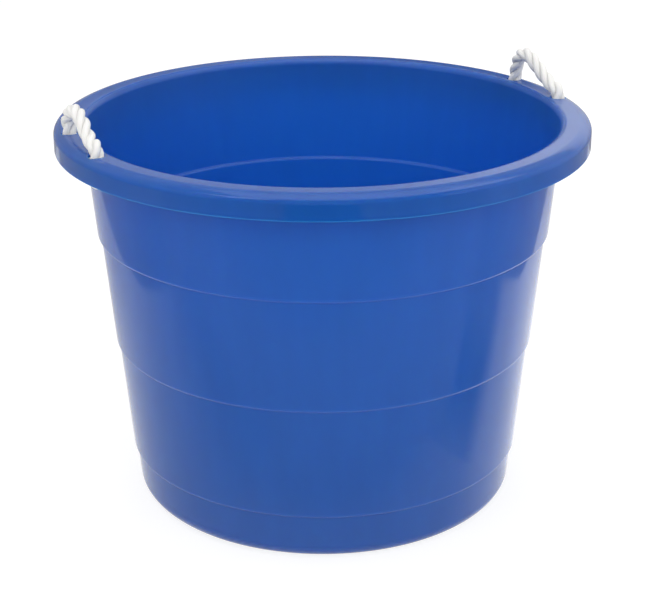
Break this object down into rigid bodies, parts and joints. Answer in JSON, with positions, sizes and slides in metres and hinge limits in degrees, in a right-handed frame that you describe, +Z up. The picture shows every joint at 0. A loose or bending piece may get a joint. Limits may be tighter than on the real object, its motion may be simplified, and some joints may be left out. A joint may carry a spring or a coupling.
{
  "type": "utility tub",
  "caption": "Round tapered plastic utility tub with a stepped wall, a rounded rim with a turned-down skirt, and knotted rope handles that swing and slide in the rim.",
  "frame": {"origin": "middle of the ring-shaped foot that the tub stands on", "axes": "+Z up along the tub's axis, X through both handles with the left handle at -X, -Y is the front"},
  "size_m": [0.5599, 0.56, 0.4576],
  "materials": {
    "tub_plastic": "gloss",
    "rope": "matte"
  },
  "bodies": {
    "tub": {"tub_shell": "tub_plastic"},
    "left_rope_ends": {"left_front_rope_end": "rope", "left_back_rope_end": "rope", "left_front_knot": "rope", "left_back_knot": "rope"},
    "left_rope_loop": {"left_rope_loop": "rope"},
    "right_rope_ends": {"right_front_rope_end": "rope", "right_back_rope_end": "rope", "right_front_knot": "rope", "right_back_knot": "rope"},
    "right_rope_loop": {"right_rope_loop": "rope"}
  },
  "joints": [
    {"name": "left_handle_pull", "type": "slide", "parent": "tub", "child": "left_rope_ends", "axis": [0, 0, 1], "range_m": [0, 0.003]},
    {"name": "left_handle_swing", "type": "hinge", "parent": "left_rope_ends", "child": "left_rope_loop", "pos_m": [-0.26021, 0, 0.4231], "axis": [0, 1, 0], "range_deg": [-81, 88], "stiffness_Nm_per_rad": 0.03},
    {"name": "right_handle_pull", "type": "slide", "parent": "tub", "child": "right_rope_ends", "axis": [0, 0, 1], "range_m": [0, 0.003]},
    {"name": "right_handle_swing", "type": "hinge", "parent": "right_rope_ends", "child": "right_rope_loop", "pos_m": [0.26021, 0, 0.4231], "axis": [0, -1, 0], "range_deg": [-97, 73], "stiffness_Nm_per_rad": 0.03}
  ]
}
